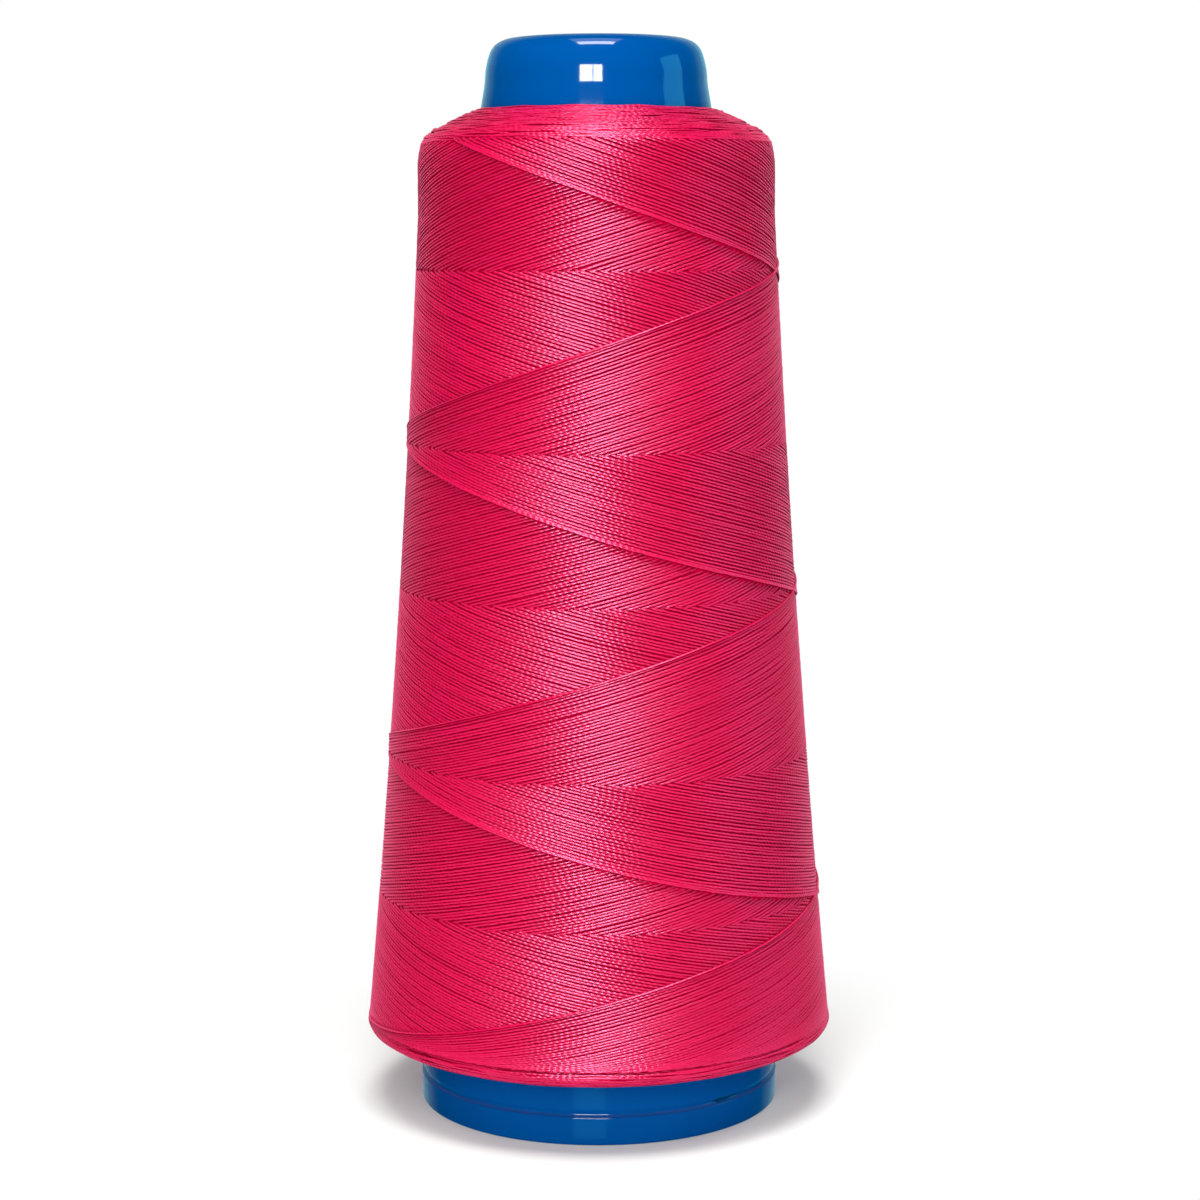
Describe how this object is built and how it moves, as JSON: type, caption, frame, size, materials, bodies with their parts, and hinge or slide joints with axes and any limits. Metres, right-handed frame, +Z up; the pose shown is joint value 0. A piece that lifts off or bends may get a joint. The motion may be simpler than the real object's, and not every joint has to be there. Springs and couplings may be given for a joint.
{
  "type": "cone of thread",
  "caption": "Cross-wound sewing thread on a hollow tapered plastic cone that stands on its foot ring.",
  "frame": {"origin": "centre of the foot's underside, on the cone's axis", "axes": "+Z up along the cone's axis, the picture looks along +Y and +X is to its right"},
  "size_m": [0.0752, 0.0752, 0.1702],
  "materials": {
    "blue_plastic": "gloss",
    "pink_thread": "twisted thread with a soft sheen"
  },
  "bodies": {
    "root": {"cone_tube": "blue_plastic", "thread_winding": "pink_thread"}
  },
  "joints": []
}
